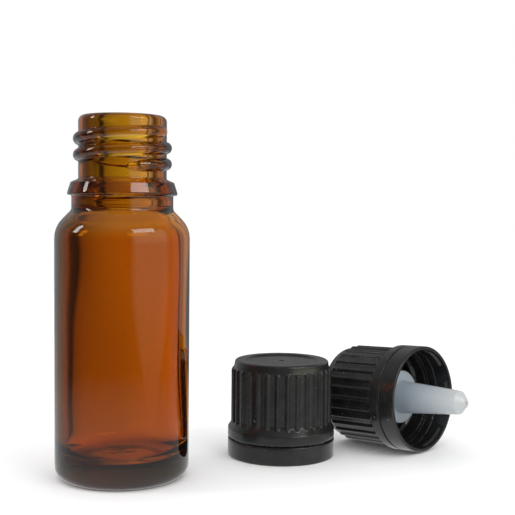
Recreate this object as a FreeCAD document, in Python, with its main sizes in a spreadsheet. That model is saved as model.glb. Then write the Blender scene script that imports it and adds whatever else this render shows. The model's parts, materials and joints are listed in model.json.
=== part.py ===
import FreeCAD, Part
import math
import os

import Sketcher
from FreeCAD import Placement, Rotation, Vector

# Amber glass dropper bottle with two tamper-evident screw closures, one of them holding its dropper
# insert. The bottle stands on the origin with its axis along +Z. One closure stands on its mouth beside
# the bottle and the other lies on its side. A closure is drawn in its own frame, mouth at z = 0 and crown
# up, and is then placed as a whole. All lengths are in millimetres and all angles in degrees.

DIMENSIONS = {
    # bottle body
    "body_d": 25.0,
    "bottle_h": 67.3,
    "heel_round": 2.4,
    "stand_ring_inset": 4.3,
    "push_up_run": 2.2,
    "push_up": 1.2,
    "push_up_round": 0.8,
    "collar_h": 2.7,
    "shoulder_rise": 3.2,
    "shoulder_round": 5.0,
    "shoulder_foot_round": 1.0,
    # neck and transfer bead
    "collar_reach": 1.25,
    "bead_reach": 2.0,
    "bead_land": 0.5,
    "bead_height": 2.4,
    "bead_top_reach": 1.4,
    "bead_crown": 0.6,
    "bead_round": 0.3,
    "neck_d": 16.3,
    "neck_foot_round": 0.4,
    "lip_round": 1.1,
    # inside of the bottle
    "wall": 1.5,
    "floor_z": 4.2,
    "floor_round": 3.0,
    "cavity_drop": 4.0,
    "cavity_round": 3.5,
    "neck_wall": 2.55,
    "throat_reach": 1.0,
    "throat_rise": 0.6,
    "throat_length": 1.3,
    "throat_taper": 2.7,
    "throat_round": 1.5,
    "bore_edge_round": 0.5,
    # screw thread shared by the neck and the closures
    "pitch": 3.0,
    "neck_ridge_height": 0.95,
    "neck_ridge_spacing": 0.6,
    "ridge_root": 0.2,
    "neck_thread_foot": 2.15,
    "neck_thread_head": 2.86,
    "neck_thread_start": -79.0,
    "neck_thread_fade": 40.0,
    "thread_clearance": 0.15,
    "cap_ridge_crest": 0.44,
    "cap_ridge_base": 1.25,
    "cap_ridge_clearance": 0.25,
    "cap_thread_rise": 6.9,
    "cap_thread_head": 6.15,
    "cap_thread_fade": 20.0,
    "cap_ridge_root": 0.12,
    "cap_ridge_sink": 0.5,
    # closure shell
    "cap_h": 19.5,
    "shell_wall": 0.6,
    "crown_t": 1.2,
    "crown_inset": 0.25,
    "crown_cone": 1.1,
    "crown_band": 0.7,
    "crown_round": 0.55,
    "crown_rim": 2.1,
    "recess_draft": 0.2,
    "recess": 0.3,
    "gate_mark_d": 1.2,
    "gate_mark": 0.15,
    "seat_wall": 0.5,
    "seat_length": 0.8,
    "seat_clearance": 0.1,
    "ledge_clearance": 0.2,
    "flange_cover": 0.15,
    "flange_slope": 1.45,
    "flange_round": 0.22,
    "rib_count": 31,
    "rib_height": 0.42,
    "rib_width": 0.6,
    "rib_end_slope": 0.35,
    "rib_foot_rise": 0.45,
    "rib_top_drop": 1.9,
    "tooth_count": 60,
    "tooth_width": 0.5,
    "tooth_inset": 0.08,
    "tooth_depth": 0.5,
    "tooth_height": 0.4,
    # tamper-evident band and the bridges that join it to the shell
    "bead_clearance": 0.1,
    "band_wall": 0.65,
    "band_h": 3.58,
    "band_round": 0.22,
    "band_gap": 0.3,
    "catch_count": 6,
    "catch_sweep": 40.0,
    "catch_depth": 0.45,
    "catch_z": 0.7,
    "catch_h": 0.9,
    "catch_clearance": 1.0,
    "bridge_count": 4,
    "bridge_t": 0.3,
    "bridge_w": 0.4,
    "bridge_lean": 0.5,
    "bridge_inset": 0.05,
    "bridge_start": 23.2,
    # dropper insert
    "insert_flange_reach": 1.4,
    "insert_flange_t": 1.0,
    "plug_clearance": 0.05,
    "plug_gap": 0.9,
    "plug_wall": 0.75,
    "plug_web": 1.0,
    "plug_round": 0.4,
    "spout_d": 6.4,
    "spout_drop": 0.3,
    "tube_d": 6.8,
    "tube_tip_d": 4.8,
    "tube_length": 14.1,
    "tip_length": 1.5,
    "tip_d": 1.7,
    "drip_hole_d": 0.6,
    "funnel_d": 4.8,
    # where the two closures are
    "standing_gap": 6.9,
    "standing_y": 17.7,
    "standing_turn": 8.8,
    "lying_gap": 7.8,
    "lying_y": 19.4,
    "lying_heading": -43.7,
    "lying_rib_shift": 3,
}

# heights inside a closure, up from its mouth
CROWN_Z = "(dims.cap_h - dims.crown_t)"
FLANGE_Z = "(dims.band_h + dims.band_gap)"
LIP_Z = f"({CROWN_Z} - dims.insert_flange_t)"
BEAD_Z = "(dims.catch_z + dims.catch_h + dims.catch_clearance)"
LEDGE_Z = f"({BEAD_Z} + dims.bead_height + dims.ledge_clearance + dims.tooth_height)"
FLANGE_TOP_Z = f"({LEDGE_Z} + dims.flange_cover)"
RIB_FOOT_Z = f"({FLANGE_TOP_Z} + dims.rib_foot_rise)"
RIB_TOP_Z = "(dims.cap_h - dims.rib_top_drop)"

# depths on the bottle, down from its lip
BEAD_DEPTH = f"({LIP_Z} - {BEAD_Z})"
NECK_FOOT_DEPTH = f"({BEAD_DEPTH} - dims.bead_height - dims.bead_crown)"
THREAD_DEPTH = f"({NECK_FOOT_DEPTH} - dims.neck_thread_foot)"
SHOULDER_DEPTH = f"({BEAD_DEPTH} + dims.collar_h)"
THROAT_DEPTH = f"({SHOULDER_DEPTH} - dims.throat_rise)"
BORE_DEPTH = f"({THROAT_DEPTH} - dims.throat_length - dims.throat_taper)"
CAVITY_DEPTH = f"({SHOULDER_DEPTH} + dims.cavity_drop)"

# radii that the bottle, the closures and the insert share
NECK_R = "(dims.neck_d / 2)"
COLLAR_R = f"({NECK_R} + dims.collar_reach)"
BEAD_R = f"({NECK_R} + dims.bead_reach)"
BEAD_TOP_R = f"({NECK_R} + dims.bead_top_reach)"
BORE_R = f"({NECK_R} - dims.neck_wall)"
THROAT_R = f"({BORE_R} + dims.throat_reach)"
BODY_R = "(dims.body_d / 2)"
CAVITY_R = f"({BODY_R} - dims.wall)"
STAND_RING_R = f"({BODY_R} - dims.stand_ring_inset)"
PUSH_UP_R = f"({STAND_RING_R} - dims.push_up_run)"
BAND_IN = f"({BEAD_R} + dims.bead_clearance)"
BAND_OUT = f"({BAND_IN} + dims.band_wall)"
ROOT_R = f"({NECK_R} + dims.neck_ridge_height + dims.thread_clearance)"
WALL_R = f"({ROOT_R} + dims.shell_wall)"
RIB_R = f"({WALL_R} + dims.rib_height)"
CROWN_R = f"({WALL_R} - dims.crown_inset)"
RECESS_R = f"({CROWN_R} - dims.crown_rim)"
FLANGE_R = f"({BORE_R} + dims.insert_flange_reach)"
SEAT_R = f"({FLANGE_R} + dims.seat_clearance)"
PLUG_R = f"({BORE_R} - dims.plug_clearance)"
PLUG_END_Z = f"({LIP_Z} - {BORE_DEPTH} + dims.plug_gap)"

# where the closures stand and lie
STANDING_X = f"({BODY_R} + {BAND_OUT} + dims.standing_gap)"
LYING_X = f"({STANDING_X} + 2 * {BAND_OUT} + dims.lying_gap)"


def start_document():
    """A new document whose sheet holds every driving dimension under its own name."""
    document = FreeCAD.newDocument("dropper_bottle")
    sheet = document.addObject("Spreadsheet::Sheet", "dims")
    for row, (alias, number) in enumerate(DIMENSIONS.items(), start=1):
        sheet.set(f"A{row}", alias)
        sheet.set(f"B{row}", str(number))
        sheet.setAlias(f"B{row}", alias)
    document.recompute()
    return document


def size(expression):
    """The present value of an expression over the sheet."""
    return float(doc.getObject("dims").evalExpression(expression))


def new_body(name):
    return doc.addObject("PartDesign::Body", name)


def origin_plane(body, role):
    """The body's own origin plane with this role, such as XZ_Plane."""
    return next(item for item in body.Origin.OriginFeatures if item.Role == role)


def pin_point(sketch, place, axis_name, expression):
    """Hold one coordinate of a sketch point at an expression, or on the axis where it is zero."""
    geometry, vertex = place
    axis_line = -2 if axis_name == "DistanceX" else -1
    if expression == "0":
        sketch.addConstraint(Sketcher.Constraint("PointOnObject", geometry, vertex, axis_line))
        return
    spot = Sketcher.Constraint(axis_name, -1, 1, geometry, vertex, size(expression))
    index = sketch.addConstraint(spot)
    sketch.setExpression(f"Constraints[{index}]", expression)


def polygon_sketch(body, name, role, corners):
    """A closed outline through corners given as pairs of expressions, on one of the origin planes."""
    sketch = body.newObject("Sketcher::SketchObject", name)
    sketch.AttachmentSupport = [(origin_plane(body, role), "")]
    sketch.MapMode = "FlatFace"
    places = [Vector(size(across), size(up), 0) for across, up in corners]
    count = len(places)
    for index in range(count):
        sketch.addGeometry(Part.LineSegment(places[index], places[(index + 1) % count]), False)
    for index in range(count):
        joined = Sketcher.Constraint("Coincident", index, 2, (index + 1) % count, 1)
        sketch.addConstraint(joined)
    for index, (across, up) in enumerate(corners):
        pin_point(sketch, (index, 1), "DistanceX", across)
        pin_point(sketch, (index, 1), "DistanceY", up)
    doc.recompute()
    return sketch


def turn_profile(body, name, corners):
    """A solid of revolution about the body's Z axis."""
    sketch = polygon_sketch(body, f"{name}_outline", "XZ_Plane", corners)
    turned = body.newObject("PartDesign::Revolution", name)
    turned.Profile = sketch
    turned.ReferenceAxis = (sketch, ["V_Axis"])
    turned.Angle = 360
    doc.recompute()
    return turned


def rim_edges(feature, corners):
    """Names of the circular edges that pass through the given profile corners."""
    names = []
    for across, up in corners:
        radius, height = size(across), size(up)
        for index, edge in enumerate(feature.Shape.Edges, start=1):
            curve = edge.Curve
            if not isinstance(curve, Part.Circle):
                continue
            if abs(curve.Radius - radius) < 1e-4 and abs(curve.Center.z - height) < 1e-4:
                names.append(f"Edge{index}")
                break
    if len(names) != len(corners):
        raise RuntimeError(f"{feature.Label}: an edge to be rounded is missing")
    return names


def round_rims(body, name, radius, corners):
    """Round the circular edges at the given profile corners."""
    base = body.Tip
    fillet = body.newObject("PartDesign::Fillet", name)
    fillet.Base = (base, rim_edges(base, corners))
    fillet.Radius = size(radius)
    fillet.setExpression("Radius", radius)
    doc.recompute()
    return fillet


def pattern_round(body, feature, count):
    """Repeat a feature evenly round the body's Z axis."""
    pattern = body.newObject("PartDesign::PolarPattern", f"{feature.Name}_ring")
    pattern.Originals = [feature]
    axis = next(item for item in body.Origin.OriginFeatures if item.Role == "Z_Axis")
    pattern.Axis = (axis, [""])
    pattern.Angle = 360
    pattern.Occurrences = int(size(count))
    pattern.setExpression("Occurrences", count)
    body.Tip = pattern
    doc.recompute()
    return pattern


def pad_both_ways(body, name, role, corners, length):
    """A prism drawn on an origin plane and grown to both sides of it."""
    sketch = polygon_sketch(body, f"{name}_outline", role, corners)
    pad = body.newObject("PartDesign::Pad", name)
    pad.Profile = sketch
    pad.Midplane = True
    pad.Length = size(length)
    pad.setExpression("Length", length)
    doc.recompute()
    return pad


def below_lip(depth):
    """Height on the bottle of a feature at this depth under the lip."""
    return f"(dims.bottle_h - {depth})"


def ridge_path(radius, start_angle, turns, rise, fade, sink):
    """A helix whose two ends turn radially towards the surface that the ridge stands on."""
    sweep = turns * 360
    steps = math.ceil(turns * 24)
    places = []
    for step in range(steps + 1):
        turned = sweep * step / steps
        shown = min(1.0, turned / fade, (sweep - turned) / fade)
        reach = radius + sink * (1.0 - math.sin(math.radians(90 * shown)))
        angle = math.radians(start_angle + turned)
        height = rise + size("dims.pitch") * turned / 360
        places.append(Vector(reach * math.cos(angle), reach * math.sin(angle), height))
    curve = Part.BSplineCurve()
    curve.interpolate(places)
    return curve


def helical_ridge(name, outline, radius, start_angle, turns, rise, fade, sink):
    """A screw ridge with fading ends, which no sketched helix feature can give."""
    path = ridge_path(radius, start_angle, turns, rise, fade, sink)
    section = outline.copy()
    section.translate(Vector(radius + sink, 0, rise))
    section.rotate(Vector(0, 0, 0), Vector(0, 0, 1), start_angle)
    sweep = Part.BRepOffsetAPI.MakePipeShell(Part.Wire([path.toShape()]))
    sweep.setBiNormalMode(Vector(0, 0, 1))
    sweep.add(section)
    sweep.build()
    sweep.makeSolid()
    ridge = doc.addObject("Part::Feature", name)
    ridge.Shape = sweep.shape()
    return ridge


def neck_ridge():
    """The rounded glass thread on the neck."""
    half = size("(dims.pitch - dims.neck_ridge_spacing) / 2")
    height = size("dims.neck_ridge_height")
    foot = -size("dims.ridge_root")
    low, high = Vector(foot, 0, -half), Vector(foot, 0, half)
    crest = Part.Arc(low, Vector(height, 0, 0), high).toShape()
    inside = Part.makePolygon([high, Vector(foot - 0.3, 0, half), Vector(foot - 0.3, 0, -half), low])
    outline = Part.Wire([crest] + inside.Edges)
    radius = size(NECK_R)
    rise = size(below_lip(THREAD_DEPTH))
    start = size("dims.neck_thread_start")
    turns = size(f"({THREAD_DEPTH} - dims.neck_thread_head) / dims.pitch")
    fade = size("dims.neck_thread_fade")
    return helical_ridge("neck_thread", outline, radius, start, turns, rise, fade, -height - 0.1)


def cap_ridge(prefix):
    """The slim thread inside a closure, which runs in the gap of the neck's thread."""
    radius = size(f"{NECK_R} + dims.cap_ridge_clearance")
    reach = size(f"{ROOT_R} + dims.cap_ridge_root") - radius
    base_half = size("dims.cap_ridge_base / 2")
    crest_half = size("dims.cap_ridge_crest / 2")
    corners = [
        Vector(reach, 0, -base_half),
        Vector(0, 0, -crest_half),
        Vector(0, 0, crest_half),
        Vector(reach, 0, base_half),
    ]
    outline = Part.makePolygon(corners + corners[:1])
    rise = size("dims.cap_thread_rise")
    turns = size(f"({CROWN_Z} - dims.cap_thread_head - dims.cap_thread_rise) / dims.pitch")
    fade = size("dims.cap_thread_fade")
    sink = size("dims.cap_ridge_sink")
    return helical_ridge(f"{prefix}_thread", outline, radius, 0.0, turns, rise, fade, sink)


def join_as_node(name, pieces, placement=Placement()):
    """One solid made of a turned body and its thread, labelled as the finished sub-part."""
    joined = doc.addObject("Part::MultiFuse", name)
    joined.Shapes = pieces
    joined.Placement = placement
    joined.Label = name
    doc.recompute()
    return joined


def make_bottle():
    """The glass bottle: body, shoulder, transfer bead, threaded neck and pressed-up base."""
    bead_z = below_lip(BEAD_DEPTH)
    shoulder_z = below_lip(SHOULDER_DEPTH)
    throat_z = below_lip(THROAT_DEPTH)
    shoulder_foot = (BODY_R, f"{shoulder_z} - dims.shoulder_rise")
    shoulder_head = (COLLAR_R, shoulder_z)
    bead_low = (BEAD_R, bead_z)
    bead_land = (BEAD_R, f"{bead_z} + dims.bead_land")
    bead_top = (BEAD_TOP_R, f"{bead_z} + dims.bead_height")
    neck_foot = (NECK_R, below_lip(NECK_FOOT_DEPTH))
    lip_out = (NECK_R, "dims.bottle_h")
    lip_in = (BORE_R, "dims.bottle_h")
    throat_foot = (THROAT_R, throat_z)
    cavity_top = (CAVITY_R, below_lip(CAVITY_DEPTH))
    cavity_foot = (CAVITY_R, "dims.floor_z")
    corners = [
        ("0", "dims.push_up"),
        (PUSH_UP_R, "dims.push_up"),
        (STAND_RING_R, "0"),
        (BODY_R, "0"),
        shoulder_foot,
        shoulder_head,
        (COLLAR_R, bead_z),
        bead_low,
        bead_land,
        bead_top,
        neck_foot,
        lip_out,
        lip_in,
        (BORE_R, below_lip(BORE_DEPTH)),
        (THROAT_R, f"{throat_z} + dims.throat_length"),
        throat_foot,
        cavity_top,
        cavity_foot,
        ("0", "dims.floor_z"),
    ]
    body = new_body("bottle_turned")
    turn_profile(body, "bottle_revolved", corners)
    round_rims(body, "heel_fillet", "dims.heel_round", [(BODY_R, "0")])
    round_rims(body, "shoulder_fillet", "dims.shoulder_round", [shoulder_foot])
    round_rims(body, "shoulder_foot_fillet", "dims.shoulder_foot_round", [shoulder_head])
    round_rims(body, "bead_fillet", "dims.bead_round", [bead_low, bead_land, bead_top])
    round_rims(body, "neck_foot_fillet", "dims.neck_foot_round", [neck_foot])
    round_rims(body, "lip_fillet", "dims.lip_round", [lip_out])
    round_rims(body, "bore_fillet", "dims.bore_edge_round", [lip_in])
    round_rims(body, "throat_fillet", "dims.throat_round", [throat_foot])
    round_rims(body, "cavity_fillet", "dims.cavity_round", [cavity_top])
    round_rims(body, "floor_fillet", "dims.floor_round", [cavity_foot])
    round_rims(body, "push_up_fillet", "dims.push_up_round", [(PUSH_UP_R, "dims.push_up")])
    return join_as_node("glass_bottle", [body, neck_ridge()])


def shell_corners():
    """Profile of the closure shell, from the crown's centre out, down and back up inside."""
    return [
        ("0", "dims.cap_h - dims.recess - dims.gate_mark"),
        ("dims.gate_mark_d / 2", "dims.cap_h - dims.recess - dims.gate_mark"),
        ("dims.gate_mark_d / 2", "dims.cap_h - dims.recess"),
        (f"{RECESS_R} - dims.recess_draft", "dims.cap_h - dims.recess"),
        (RECESS_R, "dims.cap_h"),
        (CROWN_R, "dims.cap_h"),
        (CROWN_R, "dims.cap_h - dims.crown_band"),
        (WALL_R, "dims.cap_h - dims.crown_band - dims.crown_cone"),
        (WALL_R, f"{FLANGE_TOP_Z} + dims.flange_slope"),
        (BAND_OUT, FLANGE_TOP_Z),
        (BAND_OUT, FLANGE_Z),
        (BAND_IN, FLANGE_Z),
        (BAND_IN, LEDGE_Z),
        (ROOT_R, LEDGE_Z),
        (ROOT_R, CROWN_Z),
        (f"{SEAT_R} + dims.seat_wall", CROWN_Z),
        (f"{SEAT_R} + dims.seat_wall", f"{CROWN_Z} - dims.seat_length"),
        (SEAT_R, f"{CROWN_Z} - dims.seat_length"),
        (SEAT_R, CROWN_Z),
        ("0", CROWN_Z),
    ]


def add_ribs(body, prefix):
    """Grip ribs with sloped upper ends, evenly spaced round the shell."""
    root = f"({WALL_R} - dims.rib_height)"
    corners = [
        (root, RIB_FOOT_Z),
        (RIB_R, RIB_FOOT_Z),
        (RIB_R, f"{RIB_TOP_Z} - dims.rib_end_slope"),
        (root, f"{RIB_TOP_Z} + dims.rib_end_slope"),
    ]
    rib = pad_both_ways(body, f"{prefix}_rib", "XZ_Plane", corners, "dims.rib_width")
    return pattern_round(body, rib, "dims.rib_count")


def add_teeth(body, prefix):
    """The ring of small teeth on the inner ledge of the shell."""
    inner = f"({ROOT_R} + dims.tooth_inset)"
    outer = f"({ROOT_R} + dims.tooth_inset + dims.tooth_depth)"
    corners = [
        (inner, f"{LEDGE_Z} - dims.tooth_height"),
        (outer, f"{LEDGE_Z} - dims.tooth_height"),
        (outer, f"{LEDGE_Z} + dims.tooth_height"),
        (inner, f"{LEDGE_Z} + dims.tooth_height"),
    ]
    tooth = pad_both_ways(body, f"{prefix}_tooth", "XZ_Plane", corners, "dims.tooth_width")
    return pattern_round(body, tooth, "dims.tooth_count")


def make_shell(prefix, placement):
    """The ribbed closure shell with its inner thread."""
    body = new_body(f"{prefix}_turned")
    turn_profile(body, f"{prefix}_revolved", shell_corners())
    round_rims(body, f"{prefix}_crown_fillet", "dims.crown_round", [(CROWN_R, "dims.cap_h")])
    flange_rims = [(BAND_OUT, FLANGE_TOP_Z), (BAND_OUT, FLANGE_Z)]
    round_rims(body, f"{prefix}_flange_fillet", "dims.flange_round", flange_rims)
    add_ribs(body, prefix)
    add_teeth(body, prefix)
    return join_as_node(f"{prefix}_shell", [body, cap_ridge(prefix)], placement)


def make_band(prefix, placement):
    """The tamper-evident band with its inward catches."""
    name = f"{prefix}_tamper_band"
    body = new_body(name)
    body.Placement = placement
    corners = [(BAND_IN, "0"), (BAND_OUT, "0"), (BAND_OUT, "dims.band_h"), (BAND_IN, "dims.band_h")]
    turn_profile(body, f"{name}_revolved", corners)
    rims = [(BAND_OUT, "0"), (BAND_OUT, "dims.band_h")]
    round_rims(body, f"{name}_fillet", "dims.band_round", rims)
    middle = f"({BAND_IN} + dims.band_wall / 2)"
    catch = [
        (middle, "dims.catch_z"),
        (BAND_IN, "dims.catch_z"),
        (f"({BAND_IN} - dims.catch_depth)", "dims.catch_z + dims.catch_h"),
        (middle, "dims.catch_z + dims.catch_h"),
    ]
    sketch = polygon_sketch(body, f"{name}_catch_outline", "XZ_Plane", catch)
    feature = body.newObject("PartDesign::Revolution", f"{name}_catch")
    feature.Profile = sketch
    feature.ReferenceAxis = (sketch, ["V_Axis"])
    feature.Midplane = True
    feature.setExpression("Angle", "dims.catch_sweep")
    doc.recompute()
    pattern_round(body, feature, "dims.catch_count")
    body.Label = name
    return body


def make_bridges(prefix, placement):
    """The slanted bridges across the slit between the band and the shell."""
    name = f"{prefix}_bridges"
    body = new_body(name)
    start = Rotation(Vector(0, 0, 1), size("dims.bridge_start"))
    body.Placement = placement * Placement(Vector(0, 0, 0), start)
    body.AllowCompound = True
    half = "dims.bridge_w / 2"
    slant = "dims.bridge_lean / 2"
    corners = [
        (f"-{slant} - {half}", "dims.band_h"),
        (f"-{slant} + {half}", "dims.band_h"),
        (f"{slant} + {half}", FLANGE_Z),
        (f"{slant} - {half}", FLANGE_Z),
    ]
    sketch = polygon_sketch(body, f"{name}_outline", "YZ_Plane", corners)
    sketch.setExpression("AttachmentOffset.Base.z", f"{BAND_IN} + dims.bridge_inset")
    bridge = body.newObject("PartDesign::Pad", f"{name}_one")
    bridge.Profile = sketch
    bridge.setExpression("Length", "dims.bridge_t")
    doc.recompute()
    pattern_round(body, bridge, "dims.bridge_count")
    body.Label = name
    return body


def make_insert(placement):
    """The soft dropper insert, drawn seated under the crown of its closure."""
    name = "dropper_insert"
    tip_z = f"({PLUG_END_Z} - dims.tube_length)"
    end_z = f"({tip_z} - dims.tip_length)"
    pocket_r = f"({PLUG_R} - dims.plug_wall)"
    plug_rim = (PLUG_R, PLUG_END_Z)
    corners = [
        ("dims.drip_hole_d / 2", end_z),
        ("dims.tip_d / 2", end_z),
        ("dims.tube_tip_d / 2", tip_z),
        ("dims.tube_d / 2", PLUG_END_Z),
        plug_rim,
        (PLUG_R, LIP_Z),
        (FLANGE_R, LIP_Z),
        (FLANGE_R, CROWN_Z),
        (pocket_r, CROWN_Z),
        (pocket_r, f"{PLUG_END_Z} + dims.plug_web"),
        ("dims.spout_d / 2", f"{PLUG_END_Z} + dims.plug_web"),
        ("dims.spout_d / 2", f"{CROWN_Z} - dims.spout_drop"),
        ("dims.funnel_d / 2", f"{CROWN_Z} - dims.spout_drop"),
        ("dims.drip_hole_d / 2", tip_z),
    ]
    body = new_body(name)
    body.Placement = placement
    turn_profile(body, f"{name}_revolved", corners)
    round_rims(body, f"{name}_plug_fillet", "dims.plug_round", [plug_rim])
    body.Label = name
    return body


def standing_placement():
    """The closure that stands on its mouth."""
    turn = Rotation(Vector(0, 0, 1), size("dims.standing_turn"))
    return Placement(Vector(size(STANDING_X), size("dims.standing_y"), 0), turn)


def flange_corner():
    """Radius and height of the centre of the round on the flange's upper rim."""
    return size(f"{BAND_OUT} - dims.flange_round"), size(f"{FLANGE_TOP_Z} - dims.flange_round")


def lying_tilt():
    """Angle by which a closure lying on its flange and one rib raises its mouth, in degrees."""
    flange_r, flange_z = flange_corner()
    along = size(f"{RIB_TOP_Z} - dims.rib_end_slope") - flange_z
    across = flange_r - size(RIB_R)
    extra = size("dims.flange_round") / math.hypot(along, across)
    return math.degrees(math.atan2(across, along) + math.asin(extra))


def lying_placement():
    """The closure that lies on its side, mouth to the front and one rib underneath."""
    tilt = lying_tilt()
    flange_r, flange_z = flange_corner()
    rise = flange_z * math.sin(math.radians(tilt)) + flange_r * math.cos(math.radians(tilt))
    height = rise + size("dims.flange_round")
    rib_under = Rotation(Vector(0, 0, 1), 180 + size("360 * dims.lying_rib_shift / dims.rib_count"))
    mouth_down = Rotation(Vector(0, 1, 0), -90 - tilt)
    heading = Rotation(Vector(0, 0, 1), size("dims.lying_heading"))
    place = Vector(size(LYING_X), size("dims.lying_y"), height)
    return Placement(place, heading * mouth_down * rib_under)


def check_document():
    """Stop if any feature failed, did nothing or left an unsound shape."""
    for item in doc.Objects:
        if "Invalid" in item.State or "Error" in item.State:
            raise RuntimeError(f"{item.Name} failed: {item.State}")
        shape = getattr(item, "Shape", None)
        if shape is None or item.isDerivedFrom("Sketcher::SketchObject"):
            continue
        if item.isDerivedFrom("Part::Feature") and (shape.isNull() or not shape.isValid()):
            raise RuntimeError(f"{item.Name} has an unsound shape")


def write_steps(nodes):
    """One STEP file for each sub-part, named after it."""
    os.makedirs("parts", exist_ok=True)
    for node in nodes:
        node.Shape.exportStep(f"parts/{node.Label}.step")
        box = node.Shape.BoundBox
        print(node.Label, len(node.Shape.Solids), round(node.Shape.Volume, 2), box)


def make_closure(prefix, placement):
    """The shell, band and bridges of one closure, already in place."""
    return [make(prefix, placement) for make in (make_shell, make_band, make_bridges)]


doc = start_document()
nodes = [make_bottle()]
nodes += make_closure("standing_cap", standing_placement())
nodes += make_closure("lying_cap", lying_placement())
nodes.append(make_insert(lying_placement()))
check_document()
write_steps(nodes)
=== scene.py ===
import json
import math

import bpy
from mathutils import Matrix, Vector


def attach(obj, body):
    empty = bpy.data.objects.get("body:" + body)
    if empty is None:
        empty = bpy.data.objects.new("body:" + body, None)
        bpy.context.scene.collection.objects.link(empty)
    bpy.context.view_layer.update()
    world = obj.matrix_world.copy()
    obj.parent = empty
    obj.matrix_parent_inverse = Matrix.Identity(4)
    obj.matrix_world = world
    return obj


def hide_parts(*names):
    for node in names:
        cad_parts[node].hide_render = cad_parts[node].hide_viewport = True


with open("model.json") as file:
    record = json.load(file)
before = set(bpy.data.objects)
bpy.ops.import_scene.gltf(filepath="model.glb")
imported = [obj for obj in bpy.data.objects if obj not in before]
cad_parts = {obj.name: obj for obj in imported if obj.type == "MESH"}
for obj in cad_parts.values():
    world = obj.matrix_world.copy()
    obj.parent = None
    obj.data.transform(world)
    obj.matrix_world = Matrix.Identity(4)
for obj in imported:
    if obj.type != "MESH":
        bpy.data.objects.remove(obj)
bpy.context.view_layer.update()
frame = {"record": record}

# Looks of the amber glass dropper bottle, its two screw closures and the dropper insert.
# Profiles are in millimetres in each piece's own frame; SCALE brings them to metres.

SCALE = 0.001
SCENE = bpy.context.scene
TAU = math.tau

# ---------------------------------------------------------------- dimensions in millimetres
BOTTLE_R = 12.5
BOTTLE_H = 67.3
BORE_R = 5.6
THROAT_R = 6.6
CAVITY_R = 11.0
NECK_R = 8.15
RIDGE_H = 0.95
RIDGE_HALF = 1.12
PITCH = 3.0
NECK_THREAD = {"z": 57.75, "start": -79.0, "turns": 2.23, "fade": 46.0}
BAND_IN, BAND_OUT = 10.25, 10.9
ROOT_R, WALL_R = 9.25, 9.85
CAP_H = 19.5
CROWN_Z = 18.3
LEDGE_Z = 5.6
BAND_H = 3.58
FLANGE_Z = 3.88
FLANGE_TOP_Z = 5.75
CAP_THREAD = {"z": 6.9, "start": 0.0, "turns": 1.75, "fade": 24.0}
RIBS = 31
RIB_H = 0.42
RIB_HALF = 0.42
RIB_TOP_Z = 17.95
TEETH = 60
CATCHES = 6
CATCH_HALF_SWEEP = math.radians(20)
BRIDGES = 4
BRIDGE_START = 23.2
STANDING_TURN = math.radians(8.8)
LYING_RIB_SHIFT = 3

# colours and absorption of the glass
BODY_TINT = (0.78, 0.44, 0.1)
NECK_TINT = (1.0, 1.0, 1.0)
GLASS_VOLUME = (0.862, 0.714, 0.046, 1)
GLASS_DENSITY = 1130.0


# ---------------------------------------------------------------- profiles and lathes
def arc_at(before, corner, after, radius):
    """Points of the round that replaces a profile corner."""
    a = (Vector(before) - Vector(corner)).normalized()
    b = (Vector(after) - Vector(corner)).normalized()
    half = math.acos(max(-1.0, min(1.0, a.dot(b)))) / 2
    reach = radius / math.tan(half)
    centre = Vector(corner) + (a + b).normalized() * (radius / math.sin(half))
    start = Vector(corner) + a * reach - centre
    end = Vector(corner) + b * reach - centre
    sweep = math.pi - 2 * half
    steps = max(3, math.ceil(sweep / 0.2))
    points = []
    for step in range(steps + 1):
        part = step / steps
        turned = start * math.sin((1 - part) * sweep) + end * math.sin(part * sweep)
        points.append(tuple(centre + turned / math.sin(sweep)))
    return points


def profile(corners, spacing=1.0, closed=False):
    """A dense outline through corners (r, z), (r, z, round) or (r, z, round, spacing to the next)."""
    count = len(corners)
    points, gaps = [], []
    for index, corner in enumerate(corners):
        radius = corner[2] if len(corner) > 2 else 0
        gap = corner[3] if len(corner) > 3 else spacing
        place = corner[:2]
        if radius and (closed or 0 < index < count - 1):
            turned = arc_at(corners[index - 1][:2], place, corners[(index + 1) % count][:2], radius)
        else:
            turned = [place]
        points += turned
        gaps += [radius or gap] * (len(turned) - 1) + [gap]
    dense = []
    pairs = len(points) if closed else len(points) - 1
    for index in range(pairs):
        (r0, z0), (r1, z1) = points[index], points[(index + 1) % len(points)]
        steps = max(1, math.ceil(math.hypot(r1 - r0, z1 - z0) / gaps[index]))
        for step in range(steps):
            part = step / steps
            dense.append((r0 + (r1 - r0) * part, z0 + (z1 - z0) * part))
    if not closed:
        dense.append(points[-1])
    return dense


def lathe(name, outline, segments, shape=None, closed=False):
    """A mesh turned about Z; shape(r, z, angle, index) may move each point to a new (r, z)."""
    vertices, rings = [], []
    for index, (r, z) in enumerate(outline):
        if r < 1e-6:
            rings.append([len(vertices)])
            vertices.append((0.0, 0.0, z))
            continue
        ring = []
        for step in range(segments):
            angle = TAU * step / segments
            across, up = shape(r, z, angle, index) if shape else (r, z)
            ring.append(len(vertices))
            vertices.append((across * math.cos(angle), across * math.sin(angle), up))
        rings.append(ring)
    faces = []
    pairs = list(zip(rings, rings[1:])) + ([(rings[-1], rings[0])] if closed else [])
    for low, high in pairs:
        for step in range(segments):
            after = (step + 1) % segments
            if len(low) == 1:
                faces.append((low[0], high[after], high[step]))
            elif len(high) == 1:
                faces.append((low[step], low[after], high[0]))
            else:
                faces.append((low[step], low[after], high[after], high[step]))
    return mesh_object(name, vertices, faces)


def mesh_object(name, vertices, faces):
    """A smooth-shaded object in millimetres, still in its own frame."""
    mesh = bpy.data.meshes.new(name)
    mesh.from_pydata(vertices, [], faces)
    mesh.validate()
    mesh.update()
    for polygon in mesh.polygons:
        polygon.use_smooth = True
    item = bpy.data.objects.new(name, mesh)
    SCENE.collection.objects.link(item)
    return item


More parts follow.
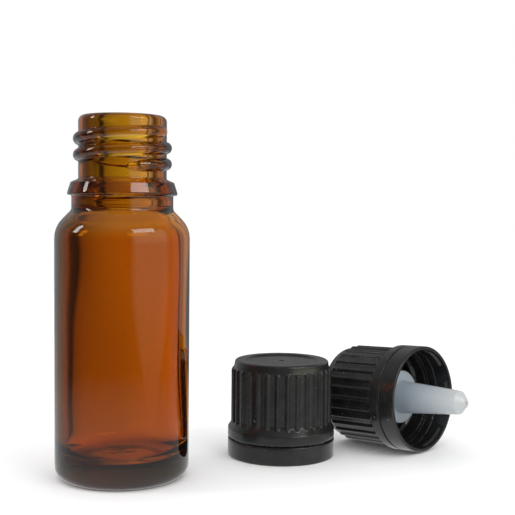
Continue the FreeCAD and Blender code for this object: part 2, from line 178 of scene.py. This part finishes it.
def settle(item, matrix, material, body, nodes):
    """Put a piece in place, give it its material and tie it to the CAD."""
    item.data.transform(matrix)
    item.data.update()
    item.data.materials.append(material)
    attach(item, body)
    if nodes:
        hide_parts(*nodes)


def smooth_step(low, high, number):
    part = max(0.0, min(1.0, (number - low) / (high - low)))
    return part * part * (3 - 2 * part)


def ridge_at(thread, z, angle, height, half, flat=0.0):
    """Height of a screw ridge above its root at one spot, with fading ends."""
    best = 0.0
    sweep = thread["turns"] * 360
    first = (math.degrees(angle) - thread["start"]) % 360
    turned = first - 360
    while turned <= sweep + 360:
        if 0 <= turned <= sweep:
            centre = thread["z"] + PITCH * turned / 360
            away = max(0.0, abs(z - centre) - flat)
            if away < half:
                shown = min(1.0, turned / thread["fade"], (sweep - turned) / thread["fade"])
                sunk = (height + 0.1) * (1 - math.sin(math.pi / 2 * shown))
                big = (half * half + height * height) / (2 * height)
                rise = math.sqrt(big * big - away * away) - (big - height) - sunk
                best = max(best, rise)
        turned += 360
    return best


# ---------------------------------------------------------------- the glass bottle
def bottle_outline():
    """Outside from the base centre to the lip, then the inside back down to the floor centre."""
    outside = [
        (0, 1.2, 0, 0.8),
        (6.0, 1.2, 0.8),
        (8.2, 0.0, 0.5, 0.4),
        (BOTTLE_R, 0.0, 2.4),
        (BOTTLE_R, 46.7, 5.0, 0.5),
        (9.4, 49.9, 1.0),
        (9.4, 52.6, 0.25, 0.2),
        (10.15, 52.6, 0.3, 0.2),
        (10.15, 53.1, 0.3, 0.3),
        (9.55, 55.0, 0.4, 0.3),
        (NECK_R, 55.6, 0.4, 0.1),
        (NECK_R, BOTTLE_H, 1.1, 0.3),
    ]
    inside = [
        (BORE_R, BOTTLE_H, 0.7, 0.5),
        (BORE_R, 54.5, 1.0, 0.5),
        (THROAT_R, 51.8, 0.8, 0.5),
        (THROAT_R, 50.5, 1.5, 0.4),
        (CAVITY_R, 45.9, 3.5, 0.7),
        (CAVITY_R, 4.4, 3.0, 0.5),
        (0, 4.0),
    ]
    return profile(outside + inside, 1.0), len(profile(outside, 1.0))


def uneven(z, angle):
    """Slight waviness of the blown inner wall, between -1 and 1."""
    swirl = math.sin(2 * angle + 0.11 * z + 0.6) + 0.6 * math.sin(3 * angle - 0.17 * z + 2.1)
    return (swirl + 0.5 * math.sin(5 * angle + 0.07 * z) + 0.4 * math.sin(0.35 * z + angle)) / 2.5


def bottle_shape(outside_count):
    def shape(r, z, angle, index):
        if index < outside_count:
            if NECK_R - 0.01 < r < NECK_R + 0.4 and 55.6 < z < 66.3:
                r += ridge_at(NECK_THREAD, z, angle, RIDGE_H, RIDGE_HALF)
            return r, z
        calm = smooth_step(3.2, 8.0, z) * (1 - smooth_step(50.7, 54.7, z))
        if r > 6.0 and z > 4.6:
            r += 0.22 * uneven(z, angle) * calm
        elif z <= 4.6:
            z += 0.12 * math.sin(2 * angle + 0.4 * r) * (1 - r / CAVITY_R)
        return r, z

    return shape


def make_bottle(material):
    outline, outside_count = bottle_outline()
    bottle = lathe("bottle_glass", outline, 256, bottle_shape(outside_count))
    settle(bottle, Matrix.Scale(SCALE, 4), material, "bottle", ["glass_bottle"])
    return bottle


# ---------------------------------------------------------------- closures
def shell_outline():
    """Closure shell from the crown's centre out, down the ribbed wall and back up inside."""
    outside = [
        (0, 19.03, 0, 0.3),
        (0.55, 19.03, 0.1, 0.2),
        (0.65, 19.2, 0.1, 0.8),
        (7.3, 19.2, 0.08, 0.3),
        (7.5, CAP_H, 0.2, 0.4),
        (9.6, CAP_H, 0.55, 0.2),
        (9.6, 18.8, 0.3, 0.2),
        (WALL_R, 17.7, 0.3, 0.25),
        (WALL_R, 7.2, 0.6, 0.15),
        (BAND_OUT, FLANGE_TOP_Z, 0.22, 0.4),
        (BAND_OUT, FLANGE_Z, 0.22, 0.2),
    ]
    inside = [
        (BAND_IN, FLANGE_Z, 0.05, 0.4),
        (BAND_IN, LEDGE_Z, 0.1, 0.3),
        (ROOT_R, LEDGE_Z, 0.1, 0.2),
        (ROOT_R, CROWN_Z, 0.3, 0.4),
        (7.6, CROWN_Z, 0.1, 0.3),
        (7.6, 17.5, 0.1, 0.3),
        (7.1, 17.5, 0.1, 0.3),
        (7.1, CROWN_Z, 0.1, 0.5),
        (0, CROWN_Z),
    ]
    return profile(outside + inside, 0.6), len(profile(outside, 0.6))


def rib_at(z, angle):
    """Rounded grip ribs with domed upper ends."""
    pitch = TAU / RIBS
    away = abs((angle + pitch / 2) % pitch - pitch / 2) * WALL_R
    if away > RIB_HALF or not FLANGE_TOP_Z < z < RIB_TOP_Z:
        return 0.0
    across = math.sqrt(1 - (away / RIB_HALF) ** 2)
    top = min(1.0, max(0.0, (17.85 - z) / 0.5))
    return RIB_H * across * math.sqrt(max(0.0, 1 - (1 - top) ** 2))


def shell_shape(outside_count):
    def shape(r, z, angle, index):
        if index < outside_count:
            if z < RIB_TOP_Z:
                r = max(r, WALL_R + rib_at(z, angle))
            return r, z
        if ROOT_R - 0.01 < r < ROOT_R + 0.4 and 5.8 < z < 17.6:
            r -= ridge_at(CAP_THREAD, z, angle, 0.85, 0.42, 0.2)
        return r, z

    return shape


def add_boxes(item, boxes):
    """Append small six-sided blocks, given by their eight corners, to a mesh."""
    mesh = item.data
    vertices = [vertex.co[:] for vertex in mesh.vertices]
    faces = [tuple(polygon.vertices) for polygon in mesh.polygons]
    smooth_count = len(faces)
    for corners in boxes:
        base = len(vertices)
        vertices += corners
        for side in ((0, 1, 2, 3), (7, 6, 5, 4), (0, 4, 5, 1), (1, 5, 6, 2), (2, 6, 7, 3), (3, 7, 4, 0)):
            faces.append(tuple(base + corner for corner in side))
    mesh.clear_geometry()
    mesh.from_pydata(vertices, [], faces)
    mesh.update()
    for index, polygon in enumerate(mesh.polygons):
        polygon.use_smooth = index < smooth_count


def block(angle, r0, r1, half_low, half_high, z0, z1, lean=0.0):
    """Corners of a block between two radii and two heights, leaning sideways by lean."""
    corners = []
    for z, half, shift in ((z0, half_low, -lean / 2), (z1, half_high, lean / 2)):
        for r, side in ((r0, -half), (r1, -half), (r1, half), (r0, half)):
            across = side + shift
            x = r * math.cos(angle) - across * math.sin(angle)
            y = r * math.sin(angle) + across * math.cos(angle)
            corners.append((x, y, z))
    return corners


def make_shell(prefix, matrix, material):
    outline, outside_count = shell_outline()
    shell = lathe(f"{prefix}_shell_visual", outline, RIBS * 16, shell_shape(outside_count))
    teeth = [block(TAU * k / TEETH, 9.33, 9.83, 0.2, 0.25, 5.2, 5.8) for k in range(TEETH)]
    add_boxes(shell, teeth)
    body = prefix.replace("_cap", "_shell")
    settle(shell, matrix, material, body, [f"{prefix}_shell"])


def band_shape(r, z, angle, index):
    """The band's inner face carries catches, each with a steep upper end."""
    if r < BAND_IN + 0.05 and 0.6 < z < 1.7:
        pitch = TAU / CATCHES
        away = abs((angle + pitch / 2) % pitch - pitch / 2)
        if away < CATCH_HALF_SWEEP:
            r -= 0.45 * smooth_step(0.6, 1.4, z) * (1 - smooth_step(1.45, 1.62, z))
    return r, z


def make_band(prefix, matrix, material):
    corners = [
        (BAND_IN, 0.0, 0.1, 0.2),
        (BAND_OUT, 0.0, 0.22, 0.4),
        (BAND_OUT, BAND_H, 0.22, 0.2),
        (BAND_IN, BAND_H, 0.05, 0.1),
    ]
    outline = profile(corners, 0.4, closed=True)
    band = lathe(f"{prefix}_band_visual", outline, 288, band_shape, closed=True)
    body = prefix.replace("_cap", "_band")
    settle(band, matrix, material, body, [f"{prefix}_tamper_band"])


def make_bridges(prefix, matrix, material):
    webs = mesh_object(f"{prefix}_bridges_visual", [], [])
    angles = [math.radians(BRIDGE_START + 360 / BRIDGES * k) for k in range(BRIDGES)]
    blocks = [block(angle, 10.3, 10.6, 0.2, 0.2, BAND_H, FLANGE_Z, 0.5) for angle in angles]
    add_boxes(webs, blocks)
    body = prefix.replace("_cap", "_bridges")
    settle(webs, matrix, material, body, [f"{prefix}_bridges"])


def make_closure(prefix, matrix, material):
    make_shell(prefix, matrix, material)
    make_band(prefix, matrix, material)
    make_bridges(prefix, matrix, material)


# ---------------------------------------------------------------- the dropper insert
def insert_outline():
    outside = [
        (0.3, -10.2, 0.05, 0.2),
        (0.85, -10.2, 0.15, 0.3),
        (2.4, -8.7, 0.35, 0.8),
        (3.4, 5.4, 0.3, 0.5),
        (5.55, 5.4, 0.4, 0.8),
        (5.55, 17.3, 0.1, 0.3),
        (7.0, 17.3, 0.15, 0.3),
        (7.0, CROWN_Z, 0.15, 0.3),
        (4.8, CROWN_Z, 0.2, 0.8),
        (4.8, 6.4, 0.4, 0.5),
        (3.2, 6.4, 0.3, 0.8),
        (3.2, 18.0, 0.2, 0.2),
        (2.4, 18.0, 0.2, 0.8),
        (0.3, -8.7, 0.5, 0.4),
    ]
    return profile(outside, 0.8, closed=True)


def make_insert(matrix, material):
    insert = lathe("dropper_insert_visual", insert_outline(), 96, closed=True)
    settle(insert, matrix, material, "insert", ["dropper_insert"])


# ---------------------------------------------------------------- materials
def new_material(name):
    material = bpy.data.materials.new(name)
    material.use_nodes = True
    nodes, links = material.node_tree.nodes, material.node_tree.links
    return material, nodes, links, nodes["Principled BSDF"]


def noise(nodes, links, scale, detail=4.0, stretch=(1, 1, 1)):
    """A noise pattern in object space, scaled per metre."""
    place = nodes.new("ShaderNodeTexCoord")
    mapping = nodes.new("ShaderNodeMapping")
    mapping.inputs["Scale"].default_value = stretch
    pattern = nodes.new("ShaderNodeTexNoise")
    pattern.inputs["Scale"].default_value = scale
    pattern.inputs["Detail"].default_value = detail
    links.new(place.outputs["Object"], mapping.inputs["Vector"])
    links.new(mapping.outputs["Vector"], pattern.inputs["Vector"])
    return pattern


def spread(nodes, links, source, low, high):
    """A 0 to 1 pattern brought to the range low to high."""
    ranged = nodes.new("ShaderNodeMapRange")
    ranged.inputs["From Min"].default_value = 0.3
    ranged.inputs["From Max"].default_value = 0.7
    ranged.inputs["To Min"].default_value = low
    ranged.inputs["To Max"].default_value = high
    links.new(source, ranged.inputs["Value"])
    return ranged.outputs["Result"]


def add_bump(nodes, links, shader, source, strength, distance):
    bump = nodes.new("ShaderNodeBump")
    bump.inputs["Strength"].default_value = strength
    bump.inputs["Distance"].default_value = distance
    links.new(source, bump.inputs["Height"])
    links.new(bump.outputs["Normal"], shader.inputs["Normal"])


def ramp(nodes, links, source, stops):
    """A colour ramp through (position, colour) stops."""
    node = nodes.new("ShaderNodeValToRGB")
    elements = node.color_ramp.elements
    while len(elements) < len(stops):
        elements.new(0.5)
    for element, (position, colour) in zip(elements, stops):
        element.position = position
        element.color = (*colour, 1)
    links.new(source, node.inputs["Fac"])
    return node.outputs["Color"]


def greys(stops):
    return [(position, (grey, grey, grey)) for position, grey in stops]


def mix(nodes, links, share, first, second):
    """A mix of two colours or colour outputs."""
    node = nodes.new("ShaderNodeMix")
    node.data_type = "RGBA"
    links.new(share, node.inputs["Factor"])
    for socket, value in ((node.inputs[6], first), (node.inputs[7], second)):
        if isinstance(value, tuple):
            socket.default_value = (*value, 1)
        else:
            links.new(value, socket)
    return node.outputs[2]


def height_share(nodes, links, low, high):
    """0 at one height of the object in metres and 1 at another."""
    place = nodes.new("ShaderNodeTexCoord")
    parts = nodes.new("ShaderNodeSeparateXYZ")
    ranged = nodes.new("ShaderNodeMapRange")
    ranged.inputs["From Min"].default_value = low
    ranged.inputs["From Max"].default_value = high
    links.new(place.outputs["Object"], parts.inputs["Vector"])
    links.new(parts.outputs["Z"], ranged.inputs["Value"])
    return ranged.outputs["Result"]


def amber_glass():
    """Amber glass whose thin body wall is darker than its neck, and whose thick base is darker from its
    own absorption and is also painted grey as painted shade.
    """
    material, nodes, links, shader = new_material("amber_glass_look")
    shader.inputs["IOR"].default_value = 1.5
    share = height_share(nodes, links, 0.0, BOTTLE_H * SCALE)
    # the grey at the very bottom of this ramp is painted shade; the body and neck tints are the glass's
    # own colour
    stops = [(0.0, (0.4, 0.4, 0.42)), (0.07, BODY_TINT), (0.66, BODY_TINT), (0.82, NECK_TINT)]
    links.new(ramp(nodes, links, share, stops), shader.inputs["Base Color"])
    # transmission is lowered near the bottom so that the base shows some grey: painted shade
    painted_base_shade_transmission = [(0.03, (0.955, 0.955, 0.955)), (0.075, (1, 1, 1))]
    links.new(ramp(nodes, links, share, painted_base_shade_transmission), shader.inputs["Transmission Weight"])
    smear = noise(nodes, links, 90.0)
    links.new(spread(nodes, links, smear.outputs["Fac"], 0.0, 0.014), shader.inputs["Roughness"])
    wave = noise(nodes, links, 60.0, 2.0, (1, 1, 0.35))
    add_bump(nodes, links, shader, wave.outputs["Fac"], 0.25, 0.0006)
    volume = nodes.new("ShaderNodeVolumeAbsorption")
    volume.inputs["Color"].default_value = GLASS_VOLUME
    volume.inputs["Density"].default_value = GLASS_DENSITY
    output = next(node for node in nodes if node.type == "OUTPUT_MATERIAL")
    links.new(volume.outputs["Volume"], output.inputs["Volume"])
    return material


def black_plastic():
    material, nodes, links, shader = new_material("black_plastic_look")
    tone = noise(nodes, links, 400.0, 6.0)
    stops = [(0.35, (0.011, 0.011, 0.0115)), (0.7, (0.019, 0.019, 0.0195))]
    plain = ramp(nodes, links, tone.outputs["Fac"], stops)
    dust = noise(nodes, links, 1300.0, 1.0)
    specks = ramp(nodes, links, dust.outputs["Fac"], greys([(0.77, 0.0), (0.8, 1.0)]))
    links.new(mix(nodes, links, specks, plain, (0.16, 0.16, 0.16)), shader.inputs["Base Color"])
    wear = noise(nodes, links, 250.0, 8.0)
    links.new(spread(nodes, links, wear.outputs["Fac"], 0.18, 0.28), shader.inputs["Roughness"])
    grain = noise(nodes, links, 6000.0, 3.0)
    add_bump(nodes, links, shader, grain.outputs["Fac"], 0.12, 0.00003)
    return material


def axis_share(nodes, links, axis, low, high):
    """0 at one distance along an axis of the object in metres and 1 at another."""
    place = nodes.new("ShaderNodeTexCoord")
    along = nodes.new("ShaderNodeVectorMath")
    along.operation = "DOT_PRODUCT"
    along.inputs[1].default_value = axis
    ranged = nodes.new("ShaderNodeMapRange")
    ranged.inputs["From Min"].default_value = low
    ranged.inputs["From Max"].default_value = high
    links.new(place.outputs["Object"], along.inputs[0])
    links.new(along.outputs["Value"], ranged.inputs["Value"])
    return ranged.outputs["Result"]


def milky_plastic():
    """Cloudy soft plastic, painted darker and bluer towards its end inside the closure as painted shade,
    and whiter towards the tip as a painted highlight.
    """
    material, nodes, links, shader = new_material("milky_plastic_look")
    place, axis = mount("lying_cap_thread")
    start = place.dot(axis) - 0.018
    tone = noise(nodes, links, 300.0, 4.0)
    # colour along the closure's axis: painted shade at the end inside the closure, a painted highlight
    # at the tip
    along = axis_share(nodes, links, axis, start, start + 0.029)
    stops = [(0.0, (0.64, 0.74, 0.83)), (0.55, (0.70, 0.79, 0.87)), (1.0, (0.92, 0.94, 0.95))]
    painted_shade_and_tip_light = ramp(nodes, links, along, stops)
    veil = spread(nodes, links, tone.outputs["Fac"], 0.0, 0.2)
    links.new(mix(nodes, links, veil, painted_shade_and_tip_light, (0.88, 0.93, 0.97)), shader.inputs["Base Color"])
    shader.inputs["Transmission Weight"].default_value = 0.5
    shader.inputs["IOR"].default_value = 1.51
    shader.inputs["Subsurface Weight"].default_value = 0.7
    shader.inputs["Subsurface Radius"].default_value = (1.0, 1.1, 1.2)
    shader.inputs["Subsurface Scale"].default_value = 0.0012
    links.new(spread(nodes, links, tone.outputs["Fac"], 0.16, 0.24), shader.inputs["Roughness"])
    grain = noise(nodes, links, 3000.0, 3.0)
    add_bump(nodes, links, shader, grain.outputs["Fac"], 0.1, 0.00004)
    return material


def floor_material():
    material, nodes, links, shader = new_material("floor_look")
    tone = noise(nodes, links, 8.0, 2.0)
    stops = [(0.0, (0.965, 0.965, 0.965)), (1.0, (0.98, 0.98, 0.98))]
    links.new(ramp(nodes, links, tone.outputs["Fac"], stops), shader.inputs["Base Color"])
    shader.inputs["Roughness"].default_value = 0.95
    shader.inputs["Specular IOR Level"].default_value = 0.1
    return material


# ---------------------------------------------------------------- where the closures are
def mount(name):
    """Place and direction of one of the record's mounts."""
    found = next(item for item in frame["record"]["mounts"] if item["name"] == name)
    return Vector(found["pos_m"]), Vector(found["axis"]).normalized()


def standing_matrix():
    place, _ = mount("standing_cap_thread")
    return Matrix.Translation(place) @ Matrix.Rotation(STANDING_TURN, 4, "Z") @ Matrix.Scale(SCALE, 4)


def lying_matrix():
    """The lying closure's mouth faces along its mount's axis, with one rib underneath."""
    place, out = mount("lying_cap_thread")
    up = -out
    down = Vector((0, 0, -1))
    side = (down - up * down.dot(up)).normalized()
    across = up.cross(side)
    turn = Matrix((side, across, up)).transposed().to_4x4()
    rib_shift = Matrix.Rotation(LYING_RIB_SHIFT * TAU / RIBS, 4, "Z")
    return Matrix.Translation(place) @ turn @ rib_shift @ Matrix.Scale(SCALE, 4)


# ---------------------------------------------------------------- stage, light and camera
# the surround, by direction: brightness seen through glass from left to right, with two dark strips
# and a bright one, and brightness seen in gloss from front to back, with a window and a table
BEHIND_GLASS = [
    (0.0, 0.35), (0.08, 0.3), (0.2, 0.15), (0.27, 0.35), (0.3, 0.04), (0.33, 0.04), (0.35, 0.45),
    (0.45, 0.9), (0.5, 1.02), (0.545, 1.35), (0.598, 1.4), (0.612, 0.12), (0.632, 0.12), (0.65, 1.2),
    (0.72, 0.95), (0.78, 0.6), (0.87, 0.2), (1.0, 0.35),
]
FRONT_OF_GLASS = 0.35
ROOM_GLOSS = [(0.0, 0.03), (0.5, 0.08), (0.65, 0.35), (0.9, 0.55), (0.97, 0.28), (1.0, 0.22)]
ROOF_GLOSS = 0.3
WINDOW_GLOSS = (1.3, 1.28, 0.95)
TABLE_GLOSS = 0.8
WINDOW_BEARING = math.radians(58.0)
WINDOW_FOOT_HALF = math.radians(4.0)
WINDOW_HALF = math.radians(38.0)
FLOOR_R = 0.4
FLOOR_SIDES = 96

# camera, with the focal length and the image's width in pixels
SENSOR_WIDTH = 36.0
FOCAL_LENGTH = 1000.0
IMAGE_WIDTH = 515.0
CAMERA_PLACE = (0.02517, -0.18625, 0.05084)
CAMERA_PITCH = math.radians(2.944)
CAMERA_ROLL = math.radians(0.5)


def make_floor():
    """A round white table, which the studio's soft white surround continues."""
    angles = [TAU * k / FLOOR_SIDES for k in range(FLOOR_SIDES)]
    corners = [(FLOOR_R * math.cos(angle), FLOOR_R * math.sin(angle), 0.0) for angle in angles]
    floor = mesh_object("floor", corners, [tuple(range(FLOOR_SIDES))])
    floor.data.materials.append(floor_material())
    floor.visible_glossy = False
    floor.visible_transmission = False


def make_world():
    """White surround; glass shows a bright back and darker sides, and gloss shows a dim room."""
    world = bpy.data.worlds.new("studio")
    world.use_nodes = True
    nodes, links = world.node_tree.nodes, world.node_tree.links
    back = nodes["Background"]
    place = nodes.new("ShaderNodeTexCoord")
    parts = nodes.new("ShaderNodeSeparateXYZ")
    links.new(place.outputs["Generated"], parts.inputs["Vector"])
    across, depth, up = (unit_range(nodes, links, parts.outputs[axis]) for axis in "XYZ")
    behind = ramp(nodes, links, across, greys(BEHIND_GLASS))
    ahead = ramp(nodes, links, depth, greys([(0.45, 0.0), (0.62, 1.0)]))
    through = mix(nodes, links, ahead, (FRONT_OF_GLASS,) * 3, behind)
    room = ramp(nodes, links, depth, greys(ROOM_GLOSS))
    roof = ramp(nodes, links, up, greys([(0.7, 0.0), (0.95, 1.0)]))
    gloss = mix(nodes, links, roof, room, (ROOF_GLOSS,) * 3)
    table = ramp(nodes, links, up, greys([(0.372, 1.0), (0.4, 0.45), (0.418, 0.0)]))
    gloss = mix(nodes, links, table, gloss, (TABLE_GLOSS,) * 3)
    window = soft_window(nodes, links, parts.outputs)
    gloss = mix(nodes, links, window, gloss, WINDOW_GLOSS)
    path = nodes.new("ShaderNodeLightPath")
    seen = mix(nodes, links, path.outputs["Is Diffuse Ray"], (1.0, 1.0, 1.0), (1.07, 1.07, 1.07))
    seen = mix(nodes, links, path.outputs["Is Glossy Ray"], seen, gloss)
    seen = mix(nodes, links, path.outputs["Is Transmission Ray"], seen, through)
    links.new(seen, back.inputs["Color"])
    SCENE.world = world


def calculate(nodes, links, operation, first, second=0.0):
    """One step of arithmetic on outputs or plain numbers."""
    node = nodes.new("ShaderNodeMath")
    node.operation = operation
    for socket, value in zip(node.inputs, (first, second)):
        if isinstance(value, float):
            socket.default_value = value
        else:
            links.new(value, socket)
    return node.outputs["Value"]


def soft_window(nodes, links, parts):
    """A soft-edged window at the front right, which narrows towards the floor."""
    facing = calculate(nodes, links, "MULTIPLY", parts["Y"], -1.0)
    bearing = calculate(nodes, links, "ARCTAN2", parts["X"], facing)
    away = calculate(nodes, links, "SUBTRACT", bearing, WINDOW_BEARING)
    away = calculate(nodes, links, "ABSOLUTE", away)
    width = nodes.new("ShaderNodeMapRange")
    width.interpolation_type = "SMOOTHSTEP"
    width.inputs["From Min"].default_value = -0.25
    width.inputs["From Max"].default_value = -0.07
    width.inputs["To Min"].default_value = WINDOW_FOOT_HALF
    width.inputs["To Max"].default_value = WINDOW_HALF
    links.new(parts["Z"], width.inputs["Value"])
    share = calculate(nodes, links, "DIVIDE", away, width.outputs["Result"])
    sides = ramp(nodes, links, share, greys([(0.7, 1.0), (1.0, 0.0)]))
    height = unit_range(nodes, links, parts["Z"])
    stops = [(0.385, 0.0), (0.46, 0.55), (0.49, 0.62), (0.52, 1.0), (0.75, 1.0), (0.8, 0.0)]
    ends = ramp(nodes, links, height, greys(stops))
    return calculate(nodes, links, "MULTIPLY", sides, ends)


def unit_range(nodes, links, source):
    """A -1 to 1 component brought to 0 to 1."""
    ranged = nodes.new("ShaderNodeMapRange")
    ranged.inputs["From Min"].default_value = -1.0
    links.new(source, ranged.inputs["Value"])
    return ranged.outputs["Result"]


def area_light(name, place, target, width, height, power):
    data = bpy.data.lights.new(name, "AREA")
    data.shape = "RECTANGLE"
    data.size, data.size_y = width, height
    data.energy = power
    item = bpy.data.objects.new(name, data)
    item.location = place
    item.rotation_euler = (Vector(target) - Vector(place)).to_track_quat("-Z", "Y").to_euler()
    SCENE.collection.objects.link(item)


def make_lights():
    area_light("lamp_key", (0.243, -0.219, 0.28), (0, 0, 0.05), 0.25, 0.1, 0.4)
    area_light("lamp_left", (-0.35, -0.05, 0.24), (0, 0, 0.04), 0.06, 0.16, 0.25)


def make_camera():
    data = bpy.data.cameras.new("camera")
    data.sensor_width = SENSOR_WIDTH
    data.lens = SENSOR_WIDTH * FOCAL_LENGTH / IMAGE_WIDTH
    data.clip_start = 0.005
    camera = bpy.data.objects.new("camera", data)
    look = Matrix.Rotation(math.pi / 2 - CAMERA_PITCH, 4, "X") @ Matrix.Rotation(CAMERA_ROLL, 4, "Z")
    camera.matrix_world = Matrix.Translation(CAMERA_PLACE) @ look
    SCENE.collection.objects.link(camera)
    SCENE.camera = camera


make_bottle(amber_glass())
black = black_plastic()
make_closure("standing_cap", standing_matrix(), black)
make_closure("lying_cap", lying_matrix(), black)
make_insert(lying_matrix(), milky_plastic())
make_floor()
make_world()
make_lights()
make_camera()
SCENE.view_settings.view_transform = "Standard"
